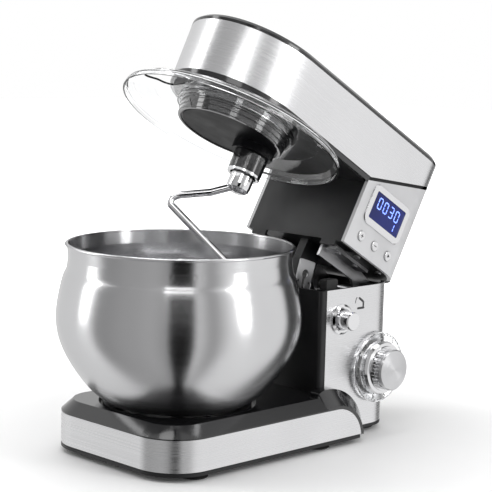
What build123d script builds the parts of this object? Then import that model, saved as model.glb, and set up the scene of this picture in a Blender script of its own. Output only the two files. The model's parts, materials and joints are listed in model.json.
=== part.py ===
from build123d import *
import math
import os

# Tilt-head stand mixer, in millimetres.
# Frame: +X runs from the bowl to the column, -Y is the side with the dial, +Z is up.
# Drawn from the point on the table under the bowl's axis and exported from the middle of its length.
# Everything on the head is drawn level, then turned up about the hinge to its open rest pose.

# ---- driving dimensions: base ----
BASE_FRONT = -89.0
BASE_HALF = 91.0
BASE_CORNER_R = 42.0
FOOT_HEIGHT = 5.0
COVER_TOP = 8.3
BAND_LOW = 8.8
BAND_TOP = 38.3
SHOULDER_Z = 39.5
TRAY_TOP = 49.5
TRAY_BEVEL = 11.0
SHEET = 1.2
SEAT_R = 74.5
SEAT_FLOOR = 42.0
FENDER_START = 112.0
FENDER_X = 126.0
FENDER_RIM = (39.5, 36.5)
FENDER_RIDGE = (53.0, 50.5)
FENDER_RIDGE_Y = 77.0
BAND_FIN = (35.7, 33.3)
FENDER_LEAD = 14.0

# ---- driving dimensions: column ----
COLUMN_FRONT = 124.0
COLUMN_HALF = 66.5
REAR_X = 241.0
REAR_R = 37.0
COLUMN_TOP = 150.0
COLUMN_REAR_TOP = 145.0
PANEL_FRONT = 132.5
PANEL_REAR = 229.0
WALL = 2.5
HINGE_X, HINGE_Z = 226.0, 136.0
PIN_R = 5.0
RUN_GAP = 0.05
RELEASE_X, RELEASE_Z = 154.0, 120.0
DIAL_X, DIAL_Z = 207.5, 66.0
GLAND_Y = 18.0

# ---- driving dimensions: bowl ----
BOWL_RIM_Z = 199.0
BOWL_RIM_R = 105.8
BOWL_BELLY_Z = 131.0
BOWL_FOOT_R = 58.0
BOWL_BASE_R = 66.0
BOWL_BASE_Z = 50.0
BOWL_SKIN = 0.9

# ---- driving dimensions: head, drawn level ----
OPEN_ANGLE = 30.0
HEAD_HALF = 67.5
NOSE_X = 2.0
NOSE_REACH = 77.0
NOSE_FLARE = 0.07
BLOCK_FRONT = 132.0
BLOCK_LOW = 152.5
FLOOR_Z = 217.5
BAND_Z = 223.0
SLANT_X, SLANT_Z = 133.5, 223.7
SLANT_RISE = 0.3816
PANEL_DROP = 3.6
ROOF_FRONT_Z = 280.0
ROOF_SLOPE = 1.26
ROOF_THICK = 6.0
ROOF_BEVEL = 3.2
SHELL_INSET = 4.0

# ---- driving dimensions: drive ----
MODULE = 1.5
RING_TEETH, PLANET_TEETH = 54, 14
MAIN_TEETH, LAY_TEETH = 56, 14
PLANET_OFFSET = MODULE * (RING_TEETH - PLANET_TEETH) / 2
LAY_X = MODULE * (MAIN_TEETH + LAY_TEETH) / 2
PLANET_ANGLE = -19.5
TOOL_X = PLANET_OFFSET * math.cos(math.radians(PLANET_ANGLE))
TOOL_Y = PLANET_OFFSET * math.sin(math.radians(PLANET_ANGLE))
CARRIER_R = 48.0
MOTOR_X = 185.0
BELT_LOW, BELT_TOP = 250.0, 257.0
LAY_PULLEY_R, MOTOR_PULLEY_R = 38.0, 8.0
LAY_SHAFT_R, CARRIER_SHAFT_R, TOOL_SHAFT_R = 6.0, 7.5, 5.0
BELT_THICK = 2.0

HINGE_AXIS = Axis((HINGE_X, 0, HINGE_Z), (0, 1, 0))
# Everything is drawn from the bowl's axis and exported from the middle of the open mixer's length.
MIDDLE_X = 98.8


# ---- drawing helpers ----
def drum(radius, low, high, x=0.0, y=0.0):
    """Upright cylinder between two heights."""
    return Pos(x, y, (low + high) / 2) * Cylinder(radius, high - low)


def pipe(outer, inner, low, high, x=0.0, y=0.0):
    """Upright tube between two heights."""
    return drum(outer, low, high, x, y) - drum(inner, low - 1, high + 1, x, y)


def block(x0, x1, y0, y1, z0, z1):
    """Box between two corners."""
    return Pos((x0 + x1) / 2, (y0 + y1) / 2, (z0 + z1) / 2) * Box(x1 - x0, y1 - y0, z1 - z0)


def rod_y(radius, y0, y1, x, z):
    """Cylinder that lies along Y."""
    return Pos(x, (y0 + y1) / 2, z) * Rot(90, 0, 0) * Cylinder(radius, y1 - y0)


def slab(face, low, high):
    """Plan outline raised between two heights."""
    return extrude(Pos(0, 0, low) * face, amount=high - low)


def side_slab(face, y0, y1):
    """Side outline, drawn as (x, z), thickened between two Y planes."""
    return extrude(Pos(0, y1, 0) * Rot(90, 0, 0) * face, amount=y1 - y0)


def both_sides(shape):
    """A shape and its mirror image across the XZ plane."""
    return shape + mirror(shape, about=Plane.XZ)


def group(shapes):
    """Separate solids kept together as one sub-part."""
    return Compound([solid for shape in shapes for solid in shape.solids()])


def turned(points):
    """Solid of revolution about Z from (radius, z) points."""
    face = make_face(Polyline(*[(r, 0, z) for r, z in points], close=True))
    return revolve(face, axis=Axis.Z)


def turned_y(points, x, z):
    """Solid of revolution about a line along Y, from (radius, y) points."""
    face = make_face(Polyline(*[(r, y, 0) for r, y in points], close=True))
    return Pos(x, 0, z) * revolve(face, axis=Axis.Y)


# ---- plan and side outlines ----
def rear_rounded_plan(front, half, inset, front_r):
    """Plan of the column: small front corners, large rear corners."""
    x0, x1 = front + inset, REAR_X - inset
    width = 2 * (half - inset)
    plan = Pos((x0 + x1) / 2, 0) * Rectangle(x1 - x0, width)
    plan = fillet(plan.vertices().sort_by(Axis.X)[-2:], REAR_R - inset)
    return fillet(plan.vertices().sort_by(Axis.X)[:2], front_r)


def column_plan(inset=0.0):
    return rear_rounded_plan(COLUMN_FRONT, COLUMN_HALF, inset, 4.0)


def head_plan(inset=0.0, level=BAND_Z):
    """Plan of the head at a level: half-ellipse nose, straight sides, rounded rear corners."""
    half = HEAD_HALF - inset
    reach = NOSE_REACH + (level - BAND_Z) * NOSE_FLARE - inset
    corner = REAR_R - inset
    turn_x, rear = REAR_X - REAR_R, REAR_X - inset
    with BuildSketch() as plan:
        with BuildLine():
            EllipticalCenterArc((NOSE_X, 0), reach, half, start_angle=90, arc_size=180)
            Line((NOSE_X, -half), (turn_x, -half))
            CenterArc((turn_x, -half + corner), corner, -90, 90)
            Line((rear, -half + corner), (rear, half - corner))
            CenterArc((turn_x, half - corner), corner, 0, 90)
            Line((turn_x, half), (NOSE_X, half))
        make_face()
    return plan.sketch


def head_core(inset=0.0):
    """Tall block with the head's plan, its nose leaning slightly forward."""
    levels = (140.0, 300.0)
    plans = [(Pos(0, 0, z) * head_plan(inset, z)).face() for z in levels]
    return loft(plans, ruled=True)


def base_plan(inset=0.0, rear=FENDER_START):
    """Plan of the tray: large front corners, square rear end."""
    x0 = BASE_FRONT + inset
    plan = Pos((x0 + rear) / 2, 0) * Rectangle(rear - x0, 2 * (BASE_HALF - inset))
    return fillet(plan.vertices().sort_by(Axis.X)[:2], BASE_CORNER_R - inset)


def fender_profile(half_axes, start_z, low):
    """Arch in side view: a rounded start at the tray, then a quarter ellipse to the table."""
    reach, rise = half_axes
    crest = FOOT_HEIGHT + rise
    with BuildSketch() as profile:
        with BuildLine():
            EllipticalCenterArc((FENDER_X, FOOT_HEIGHT), reach, rise, start_angle=0, arc_size=90)
            EllipticalCenterArc(
                (FENDER_X, start_z), FENDER_LEAD, crest - start_z, start_angle=90, arc_size=90
            )
            Line((FENDER_START, start_z), (FENDER_START, FOOT_HEIGHT))
            Line((FENDER_START, FOOT_HEIGHT), (FENDER_X + reach, FOOT_HEIGHT))
        make_face()
    return profile.sketch - Pos(FENDER_X, low / 2) * Rectangle(200, low)


def fin_profile(half_axes):
    """Curved rear end of the steel band, as an (x, z) face."""
    reach, rise = half_axes
    quarter = Pos(FENDER_X, FOOT_HEIGHT) * Ellipse(reach, rise)
    run = 2 * (FENDER_X - FENDER_START)
    return quarter + Pos(FENDER_START, FOOT_HEIGHT + rise / 2) * Rectangle(run, rise)


def under_roof(drop):
    """Everything below the head's sloping top, lowered by a distance."""
    top = 400.0
    return (
        Pos(BASE_FRONT, 0, ROOF_FRONT_Z - drop)
        * Rot(0, -ROOF_SLOPE, 0)
        * Pos(top / 2 - 50, 0, -top / 2)
        * Box(top + 100, top, top)
    )


def slant(x, drop=0.0):
    """Height of the steel band's rising lower edge at a place along the head."""
    return SLANT_Z - drop + (x - SLANT_X) * SLANT_RISE


# ---- gears ----
def involute(angle):
    return math.tan(angle) - angle


def gear_face(teeth, addendum, dedendum, thinning, first_tooth_deg=0.0):
    """Spur gear outline with 20 degree involute flanks, thinned at the pitch circle."""
    pitch_r = MODULE * teeth / 2
    base_r = pitch_r * math.cos(math.radians(20))
    tip_r, root_r = pitch_r + addendum * MODULE, pitch_r - dedendum * MODULE
    start_r = max(base_r, root_r)
    half_pitch = math.pi / (2 * teeth) - thinning / (2 * pitch_r)
    pitch_inv = involute(math.radians(20))
    flank = []
    for step in range(4):
        radius = start_r + (tip_r - start_r) * step / 3
        flank.append((radius, half_pitch + pitch_inv - involute(math.acos(base_r / radius))))
    if root_r < start_r:
        flank.insert(0, (root_r, flank[0][1]))
    points = []
    for tooth in range(teeth):
        middle = math.radians(first_tooth_deg) + 2 * math.pi * tooth / teeth
        side = [(r, middle - a) for r, a in flank] + [(r, middle + a) for r, a in reversed(flank)]
        points += [(r * math.cos(a), r * math.sin(a)) for r, a in side]
    return make_face(Polyline(*points, close=True))


# ---- base ----
def base_tray():
    plinth = slab(base_plan(SHEET), COVER_TOP, SHOULDER_Z)
    shoulder = slab(base_plan(), BAND_TOP + 0.2, SHOULDER_Z)
    lower_edge = Pos(0, 0, SHOULDER_Z) * base_plan()
    upper_edge = Pos(0, 0, TRAY_TOP) * base_plan(TRAY_BEVEL)
    crown = loft([lower_edge.face(), upper_edge.face()], ruled=True)
    deck = block(108, 126, -FENDER_RIDGE_Y, FENDER_RIDGE_Y, COVER_TOP, TRAY_TOP)
    body = plinth + shoulder + crown + deck
    body -= slab(base_plan(WALL + SHEET, FENDER_START - WALL), COVER_TOP - 1, SHOULDER_Z - 4)
    body -= block(100, 121, -72, 72, COVER_TOP - 1, TRAY_TOP - WALL)
    hollow = slab(base_plan(TRAY_BEVEL + 6, FENDER_START - WALL), SHOULDER_Z - 5, TRAY_TOP - WALL)
    body -= hollow - drum(SEAT_R + WALL, SEAT_FLOOR - WALL, 90)
    body += drum(SEAT_R + WALL, SEAT_FLOOR - WALL, TRAY_TOP)
    for x, y in BASE_SCREW_SPOTS:
        body += drum(5, COVER_TOP, TRAY_TOP - 1, x, y)
        body -= drum(1.6, COVER_TOP - 1, 26, x, y)
    body -= drum(SEAT_R, SEAT_FLOOR, TRAY_TOP + 1)
    for x, y in SEAT_SCREW_SPOTS:
        body += drum(4.5, 30, SEAT_FLOOR - 1, x, y)
        body -= drum(1.6, 32, SEAT_FLOOR + 1, x, y)
    body += both_sides(fender())
    for x, y in FOOT_SPOTS:
        body -= drum(4.6, 8, 10, x, y)
    return body - slab(column_plan(-0.1), 0, 90)


BASE_SCREW_SPOTS = [(x, y) for x in (-26, 30, 84) for y in (-68, 68)]
SEAT_ANGLES = (30, 150, 270)
SEAT_SCREW_SPOTS = [(46 * math.cos(math.radians(a)), 46 * math.sin(math.radians(a))) for a in SEAT_ANGLES]


def fender():
    """Arch beside the column's foot, with its bevelled outer edge."""
    rim = side_face(fender_profile(FENDER_RIM, SHOULDER_Z, COVER_TOP), -BASE_HALF + SHEET)
    ridge = side_face(fender_profile(FENDER_RIDGE, TRAY_TOP, COVER_TOP), -FENDER_RIDGE_Y)
    bevel = loft([rim, ridge], ruled=True)
    inner_profile = fender_profile(FENDER_RIDGE, TRAY_TOP, COVER_TOP)
    inner = side_slab(inner_profile, -FENDER_RIDGE_Y, -COLUMN_HALF + 1)
    hollow = side_slab(fin_profile((33, 29)), -86, -69) - block(0, 200, -90, -60, 0, COVER_TOP - 1)
    lip = side_slab(fender_profile(FENDER_RIM, SHOULDER_Z, COVER_TOP), -BASE_HALF, -BASE_HALF + SHEET)
    lip -= side_slab(fin_profile(BAND_FIN), -BASE_HALF - 1, -BASE_HALF + 5)
    return bevel + inner + lip - hollow


def side_face(profile, y):
    """A side outline placed on one Y plane."""
    return (Pos(0, y, 0) * Rot(90, 0, 0) * profile).face()


def base_band():
    """Brushed sheet round the front and both sides, cut to the fenders' curve."""
    rear = FENDER_X + BAND_FIN[0]
    strip = base_plan(0.05, rear) - base_plan(SHEET - 0.05, rear + 1)
    band = slab(strip, BAND_LOW, BAND_TOP)
    keep = block(BASE_FRONT - 1, FENDER_START + 1, -100, 100, 0, 60)
    keep += side_slab(fin_profile((BAND_FIN[0] - 0.1, BAND_FIN[1] - 0.1)), -100, 100)
    return band & keep


def base_bottom_cover():
    body = slab(base_plan(0.0, 160), FOOT_HEIGHT, COVER_TOP)
    body += slab(column_plan(), FOOT_HEIGHT, COVER_TOP)
    for x in (150, 197):
        body += block(x, x + 8, 44, 49.5, COVER_TOP, 14)
    for x, y in BASE_SCREW_SPOTS:
        body -= drum(1.75, 0, 10, x, y)
        body -= drum(3.4, 0, 6.6, x, y)
    for x, y in FOOT_SPOTS:
        body -= drum(4.0, 0, 10, x, y)
    for row in range(7):
        body -= block(150 + 10 * row, 154 + 10 * row, -26, 26, 0, 10)
    return body


FOOT_SPOTS = [(x, y) for x in (-46, 115) for y in (-73, 73)] + [(212, -44), (212, 44)]


def rubber_feet():
    """Suction feet: a cup on the table, a pad against the cover and a stem through it."""
    profile = [
        (0, 2.2), (5, 1.6), (11.5, 0), (13, 0), (13.6, 0.8),
        (10.5, 3.2), (10.5, 5), (3.9, 5), (3.9, 9), (0, 9),
    ]
    foot = turned(profile)
    return group([Pos(x, y, 0) * foot for x, y in FOOT_SPOTS])


def screw(head_low, tip):
    """Pan-head screw: the head's inner face and the tip are given as heights."""
    rise = 1.6 if head_low > tip else -1.6
    low, high = sorted((head_low, head_low + rise))
    shank = sorted((tip, head_low))
    return drum(3.2, low, high) + drum(1.55, *shank)


def screws(spots, head_low, tip):
    return [Pos(x, y, 0) * screw(head_low, tip) for x, y in spots]


def base_fasteners():
    """All screws of the base: bottom cover, seat ring and hinge frame."""
    fasteners = screws(BASE_SCREW_SPOTS, 6.6, 24)
    fasteners += screws(SEAT_SCREW_SPOTS, SEAT_FLOOR + 2, 33)
    fasteners += screws(FRAME_SCREW_SPOTS, 91, 83)
    return group(fasteners)


def bowl_seat_ring():
    """Ring in the tray's recess, with three tabs that the bowl's lugs turn under."""
    body = pipe(70.0, 38.0, SEAT_FLOOR, SEAT_FLOOR + 2)
    body += pipe(70.0, 66.8, SEAT_FLOOR, SEAT_FLOOR + 6.5)
    lip = pipe(68.0, 61.6, SEAT_FLOOR + 5, SEAT_FLOOR + 6.5)
    for angle in SEAT_ANGLES:
        body += lip & Rot(0, 0, angle) * block(0, 90, -17, 17, 0, 90)
    for x, y in SEAT_SCREW_SPOTS:
        body -= drum(1.75, 0, 90, x, y)
    return body


# ---- column ----
def column_cuts():
    """Openings in the column's dial side for the release button and the dial shaft."""
    return rod_y(9.6, -90, -50, RELEASE_X, RELEASE_Z) + rod_y(4.2, -90, -50, DIAL_X, DIAL_Z)


def column_shell():
    """Black inner housing: front wall, side walls behind the sheets, inner ledges."""
    front_part = slab(column_plan() - column_plan(SHEET + WALL), COVER_TOP, COLUMN_TOP)
    front_part &= block(100, PANEL_FRONT - 0.2, -90, 90, 0, 200)
    sides = slab(column_plan(SHEET + 0.1) - column_plan(SHEET + WALL), COVER_TOP, COLUMN_TOP)
    sides &= block(PANEL_FRONT - 1, PANEL_REAR, -90, 90, 0, 200)
    inner = column_plan(SHEET + WALL - 0.5)
    ledge = slab(inner, 145.5, 149) & both_sides(block(136.5, 164, 48.5, 90, 0, 200))
    seat = slab(inner - column_plan(14), 84, 88) & block(126, 222, -90, 90, 0, 200)
    body = front_part + sides + ledge + seat - column_cuts()
    for x, y in FRAME_SCREW_SPOTS:
        body += drum(4, 82, 88, x, y)
        body -= drum(1.6, 82.5, 89, x, y)
    return body


FRAME_SCREW_SPOTS = [(x, y) for x in (140, 215) for y in (-56, 56)]


def column_side_sheet():
    """Steel sheet on the dial side, wrapping half way round the rear corner."""
    sheet = slab(column_plan() - column_plan(SHEET), FOOT_HEIGHT + 3.4, COLUMN_TOP)
    return sheet & block(PANEL_FRONT, PANEL_REAR, -90, 0, 0, 200)


def side_panel_left():
    return column_side_sheet() - column_cuts()


def side_panel_right():
    return mirror(column_side_sheet(), about=Plane.XZ)


def column_rear_cover():
    """Black rear cover with vent slots and the cord gland's hole."""
    body = slab(column_plan() - column_plan(WALL), COVER_TOP, COLUMN_REAR_TOP)
    body &= block(PANEL_REAR + 0.2, 260, -90, 90, 0, 200)
    for row in range(7):
        body -= block(230, 250, -22, 22, 92 + 6 * row, 94.4 + 6 * row)
    return body - Pos(REAR_X, GLAND_Y, 24) * Rot(0, 90, 0) * Cylinder(6.1, 20)


def cord_inlet_gland():
    """Flanged rubber bush in the rear cover, bored for the supply lead."""
    body = Pos(REAR_X + 1.5, GLAND_Y, 24) * Rot(0, 90, 0) * Cylinder(9, 3)
    body += Pos(REAR_X - 3, GLAND_Y, 24) * Rot(0, 90, 0) * Cylinder(6, 6)
    body += Pos(REAR_X - 5, GLAND_Y, 24) * Rot(0, 90, 0) * Cylinder(7.5, 3)
    return body - Pos(REAR_X, GLAND_Y, 24) * Rot(0, 90, 0) * Cylinder(3.6, 40)


def hinge_frame():
    """Steel frame in the column: a shelf, two cheeks for the hinge pin, two shaft guides."""
    body = slab(column_plan(SHEET + WALL + 0.5), 88, 91) & block(130, 232, -90, 90, 0, 200)
    body -= block(168, 222, -24, 24, 80, 100)
    body += both_sides(side_slab(cheek_face(), 33.5, 38.5))
    for x, y in FRAME_SCREW_SPOTS:
        body -= drum(1.75, 80, 100, x, y)
    body += block(145, 163, -45, -41, 90, 130) + block(145, 163, 19, 23, 90, 130)
    body -= rod_y(LOCK_R + RUN_GAP, -50, 50, RELEASE_X, RELEASE_Z)
    return body - rod_y(PIN_R, -60, 60, HINGE_X, HINGE_Z)


def cheek_face():
    outline = Polyline(
        (190, 88), (HINGE_X + 8, 88), (HINGE_X + 9, HINGE_Z), (HINGE_X - 9, HINGE_Z), (206, 112), close=True
    )
    return make_face(outline) + Pos(HINGE_X, HINGE_Z) * Circle(9)


def hinge_pin():
    """Steel pin with a head at each end."""
    body = rod_y(PIN_R, -41, 41, HINGE_X, HINGE_Z)
    for low in (-41, 38.5):
        body += rod_y(7.5, low, low + 2.5, HINGE_X, HINGE_Z)
    return body


def head_rest_pads():
    """Two rubber blocks on the column's ledges that the closed head rests on."""
    pad = block(140, 156, 49.5, 58.5, 149, 158.8)
    pad = fillet(pad.edges().filter_by(Axis.Y).sort_by(Axis.Z)[-2:], 2)
    return group([pad, mirror(pad, about=Plane.XZ)])


def control_board():
    """Motor control board on edge in the column, with heat sink, choke and capacitors."""
    body = block(140, 215, 46, 47.6, 14, 78)
    for x, radius in ((152, 7), (170, 5), (183, 5)):
        body += rod_y(radius, 30, 46, x, 30)
    body += block(196, 210, 28, 46, 20, 50) + block(146, 170, 34, 46, 52, 70)
    for fin in range(5):
        body += block(178 + 6 * fin, 180 + 6 * fin, 28, 46, 55, 76)
    return body + block(178, 204, 44, 46, 54, 77)


def speed_switch():
    """Rotary switch body behind the dial, with a threaded bush through the wall."""
    body = block(DIAL_X - 15, DIAL_X + 15, -56, -40, DIAL_Z - 15, DIAL_Z + 15)
    body += rod_y(4.1, -66, -55, DIAL_X, DIAL_Z)
    for row in range(4):
        z = DIAL_Z - 12 + 8 * row
        body += block(DIAL_X - 6, DIAL_X + 6, -40, -34, z - 0.5, z + 0.5)
    return body - rod_y(3.0 + RUN_GAP, -70, -45, DIAL_X, DIAL_Z)


# ---- release button ----
LOCK_R = 4.2
NECK_R = 2.2


def release_bezel():
    """Polished ring round the release button."""
    points = [(9.7, -66.55), (15.3, -66.55), (14.9, -68.4), (12.8, -70.2), (11.0, -69.4), (9.7, -67.6)]
    return turned_y(points, RELEASE_X, RELEASE_Z)


def release_button():
    """Hollow polished button that stands out of its ring, bored behind for its spring."""
    outer = [(6.9, -58), (9.1, -58), (9.1, -81.5), (8.3, -82.9), (0, -83.3)]
    inner = [(0, -80), (LOCK_R, -80), (LOCK_R, -70), (6.9, -70)]
    return turned_y(outer + inner, RELEASE_X, RELEASE_Z)


def lock_shaft():
    """Steel shaft of the latch, with a neck where the keyhole plate crosses it."""
    body = rod_y(LOCK_R, -80, 28, RELEASE_X, RELEASE_Z)
    return body - (rod_y(9, -24, -11.5, RELEASE_X, RELEASE_Z) - rod_y(NECK_R, -30, 0, RELEASE_X, RELEASE_Z))


def release_spring():
    """Compression spring between the shaft guide and the button, as a sleeve of its pressed length."""
    return rod_y(6.4, -63.8, -45.1, RELEASE_X, RELEASE_Z) - rod_y(4.9, -70, -40, RELEASE_X, RELEASE_Z)


# ---- speed dial ----
def dial_skirt():
    """Clear stepped skirt that carries the dial's marks."""
    points = [(27, -68.4), (34.2, -68.4), (35.5, -70.6), (35.0, -72.4), (31, -73.6), (27, -74.2)]
    return turned_y(points, DIAL_X, DIAL_Z)


def dial_knob():
    """Stepped knob with a knurled grip, moulded round the switch's spindle."""
    steps = [(0, -68.2), (27, -68.2), (27, -76), (25.6, -78.6), (22.8, -79.4), (22.4, -81.4)]
    steps += [(20.4, -81.4), (20.4, -88.6), (0, -88.6)]
    body = turned_y(steps, DIAL_X, DIAL_Z) + rod_y(3.0, -69, -46, DIAL_X, DIAL_Z)
    for tooth in range(36):
        angle = math.radians(10 * tooth)
        body -= rod_y(0.9, -88.6, -81.4, DIAL_X + 20.8 * math.cos(angle), DIAL_Z + 20.8 * math.sin(angle))
    return body


def dial_cap():
    """Spun metal cap with a shallow crown."""
    points = [(0, -88.6), (20.4, -88.6), (20.6, -90.2), (19.6, -91.4), (12, -92.2), (0, -92.5)]
    return turned_y(points, DIAL_X, DIAL_Z)


# ---- bowl ----
def bowl_volume(skin):
    """Solid inside the bowl's surface, moved inward by a skin thickness."""
    stations = [
        (78.0, 58.0), (92.6, 74.0), (107.2, 97.0),
        (113.6, 114.0), (115.5, BOWL_BELLY_Z), (113.1, 152.0),
    ]
    curve = [(BOWL_BASE_R, 0, BOWL_BASE_Z + skin)]
    for radius, z in stations:
        lean = max(0.0, (BOWL_BELLY_Z - z) / 90)
        curve.append((radius - skin * math.sqrt(1 - lean**2), 0, z + skin * lean))
    neck_r = BOWL_RIM_R - 0.9 - skin
    curve += [(108.2 - skin, 0, 171.0), (neck_r, 0, 186.0)]
    with BuildLine() as section:
        Spline(*curve, tangents=((0.86, 0, 0.5), (-0.05, 0, 1)))
        Polyline(
            curve[-1], (BOWL_RIM_R - skin, 0, BOWL_RIM_Z), (0, 0, BOWL_RIM_Z), (0, 0, curve[0][2]), curve[0]
        )
    return revolve(make_face(section.line.edges()), axis=Axis.Z)


def mixing_bowl():
    """Thin-walled bowl with a belly and a rolled rim, welded to its foot ring."""
    body = bowl_volume(0) - bowl_volume(BOWL_SKIN)
    rim = Pos(BOWL_RIM_R + 0.4, 0, BOWL_RIM_Z - 1.2) * Rot(90, 0, 0) * Circle(1.5)
    return body + revolve(rim, axis=Axis.Z) + bowl_foot_ring()


def bowl_foot_ring():
    """Foot ring under the bowl, with three lugs that turn under the seat ring's tabs."""
    body = pipe(BOWL_FOOT_R + 1.5, BOWL_FOOT_R - 1.5, SEAT_FLOOR + 2, BOWL_BASE_Z + 0.4)
    lug = pipe(65.8, BOWL_FOOT_R, SEAT_FLOOR + 2.3, SEAT_FLOOR + 3.9)
    for angle in SEAT_ANGLES:
        body += lug & Rot(0, 0, angle + 60) * block(0, 90, -12, 12, 0, 90)
    return body


# ---- head casing, drawn level ----
def head_wall(outer, inner, low, drop):
    """Wall of the head between two insets, up to the sloping roof."""
    wall = head_core(outer) - head_core(inner) - block(-100, 260, -90, 90, 130, low)
    return wall & under_roof(drop)


def head_top_cover():
    """Gloss lid with a bevelled edge and a locating rib underneath."""
    plans = [head_plan(inset, ROOF_FRONT_Z) for inset in (0.0, 0.0, ROOF_BEVEL)]
    heights = (-ROOF_THICK, -ROOF_BEVEL, 0.0)
    faces = [(Pos(0, 0, z) * plan).face() for z, plan in zip(heights, plans)]
    slab_part = loft(faces[:2], ruled=True)
    lid = slab_part + loft(faces[1:], ruled=True)
    pivot = Pos(BASE_FRONT, 0, ROOF_FRONT_Z)
    lid = pivot * Rot(0, -ROOF_SLOPE, 0) * Pos(-BASE_FRONT, 0, 0) * lid
    rib = head_wall(6.8, 8.8, 260, ROOF_THICK - 0.5) - under_roof(ROOF_THICK + 4)
    return lid + rib


def head_steel_band():
    """Brushed sheet wrapped round the nose and along both sides."""
    sheet = head_wall(0.0, SHEET, BAND_Z, ROOF_THICK + 0.1)
    rear = PANEL_REAR
    outline = [(-90, BAND_Z), (SLANT_X, SLANT_Z), (rear, slant(rear)), (rear, 300), (-90, 300)]
    return sheet & side_slab(make_face(Polyline(*outline, close=True)), -90, 90)


def head_trim_ring():
    """Gloss ring below the steel band, round the nose."""
    ring = head_core() - head_core(SHELL_INSET - 0.1)
    return ring & block(-100, BLOCK_FRONT, -90, 90, FLOOR_Z + 0.5, BAND_Z - 0.2)


def head_lower_shell():
    """Black casing: nose floor, inner walls and the front wall of the rear block."""
    walls = head_wall(SHELL_INSET, SHELL_INSET + 2.4, BLOCK_LOW, ROOF_THICK + 0.2)
    walls -= block(-100, BLOCK_FRONT, -90, 90, 0, FLOOR_Z)
    walls &= block(-100, PANEL_REAR, -90, 90, 0, 300)
    floor = head_core(SHELL_INSET) & block(-100, BLOCK_FRONT + 2, -90, 90, FLOOR_Z, FLOOR_Z + 3)
    half = HEAD_HALF - SHELL_INSET
    front = block(BLOCK_FRONT, BLOCK_FRONT + WALL, -half, half, BLOCK_LOW, FLOOR_Z + 3)
    lip = block(BLOCK_FRONT, BLOCK_FRONT + WALL, 38, 57, 147, BLOCK_LOW + 1)
    ledges = block(138, 205, 57, half - 1, 232, 236)
    body = walls + floor + front + both_sides(lip) + both_sides(ledges)
    body -= drum(52.3, 200, 230)
    body -= side_slab(screen_face(1.0, 2.0), -66, -55)
    for x in BUTTON_XS:
        body -= rod_y(3.0, -66, -55, x, BUTTON_Z)
    for x, y in HOUSING_SCREW_SPOTS:
        body -= drum(1.6, 200, 230, x, y)
    for x, y in PLATE_SCREW_SPOTS:
        body += drum(5, BLOCK_LOW + 3, BLOCK_LOW + 9, x, y)
        body -= drum(1.6, BLOCK_LOW, BLOCK_LOW + 8, x, y)
    return body


HOUSING_SCREW_SPOTS = [
    (57 * math.cos(math.radians(a)), 57 * math.sin(math.radians(a))) for a in (45, 135, 225, 315)
]
PLATE_SCREW_SPOTS = [(x, y) for x in (170, 208) for y in (-56.6, 56.6)]


def head_rear_cover():
    """Black rear cover of the head with cooling slots."""
    body = head_wall(0.0, WALL, BLOCK_LOW, ROOF_THICK + 0.1)
    body += slab(head_plan(), BLOCK_LOW, BLOCK_LOW + WALL)
    body &= block(PANEL_REAR + 0.2, 260, -90, 90, 0, 300)
    for row in range(9):
        body -= block(230, 250, -24, 24, 190 + 7 * row, 193 + 7 * row)
    return body


def head_base_plate():
    """Plate that closes the rear block, with pockets over the rest pads and the latch boss."""
    body = slab(head_plan(SHELL_INSET + 2.5), BLOCK_LOW, BLOCK_LOW + 3)
    body &= block(BLOCK_FRONT + WALL, PANEL_REAR, -90, 90, 0, 300)
    pocket = block(134.8, 162, 46, 61, BLOCK_LOW, 161.6)
    space = block(136.8, 160, 48, 60, 150, 159.2)
    body = body + both_sides(pocket) - both_sides(space)
    boss = block(141, 167, -12.8, -3, 128, BLOCK_LOW + 1)
    for side in (-11.2, 6.2):
        boss += latch_turn() * block(RELEASE_X + side, RELEASE_X + side + 5, -12.8, -3, 108, 134)
    boss -= rod_y(6.4, -20, 10, RELEASE_X, RELEASE_Z)
    body = body + boss
    for x, y in PLATE_SCREW_SPOTS + BRACKET_SCREW_SPOTS:
        body -= drum(1.6, 150, 160, x, y)
    return body


BRACKET_SCREW_SPOTS = [(x, y) for x in (160, 190) for y in (-40, 40)]


def latch_turn():
    """Turn of the keyhole plate, so that its slot is square to the hinge's radius."""
    return Pos(RELEASE_X, 0, RELEASE_Z) * Rot(0, -12.5, 0) * Pos(-RELEASE_X, 0, -RELEASE_Z)


def keyhole_plate():
    """Steel latch plate: a round hole with a slot that follows the hinge's circle."""
    outline = Pos(RELEASE_X, RELEASE_Z) * Pos(0, 0) * Rectangle(22, 28)
    outline = fillet(outline.vertices(), 1.5)
    plate = latch_turn() * side_slab(outline, -15, -13)
    plate -= rod_y(4.5, -20, -10, RELEASE_X, RELEASE_Z)
    reach = math.hypot(RELEASE_X - HINGE_X, RELEASE_Z - HINGE_Z)
    slot = rod_y(reach + 2.7, -20, -10, HINGE_X, HINGE_Z) - rod_y(reach - 2.7, -21, -9, HINGE_X, HINGE_Z)
    plate -= slot & latch_turn() * block(RELEASE_X - 9, RELEASE_X + 9, -20, -10, RELEASE_Z - 20, RELEASE_Z)
    for side in (-8, 8):
        plate -= latch_turn() * rod_y(1.25, -20, -10, RELEASE_X + side, RELEASE_Z - 8)
    return plate


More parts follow.
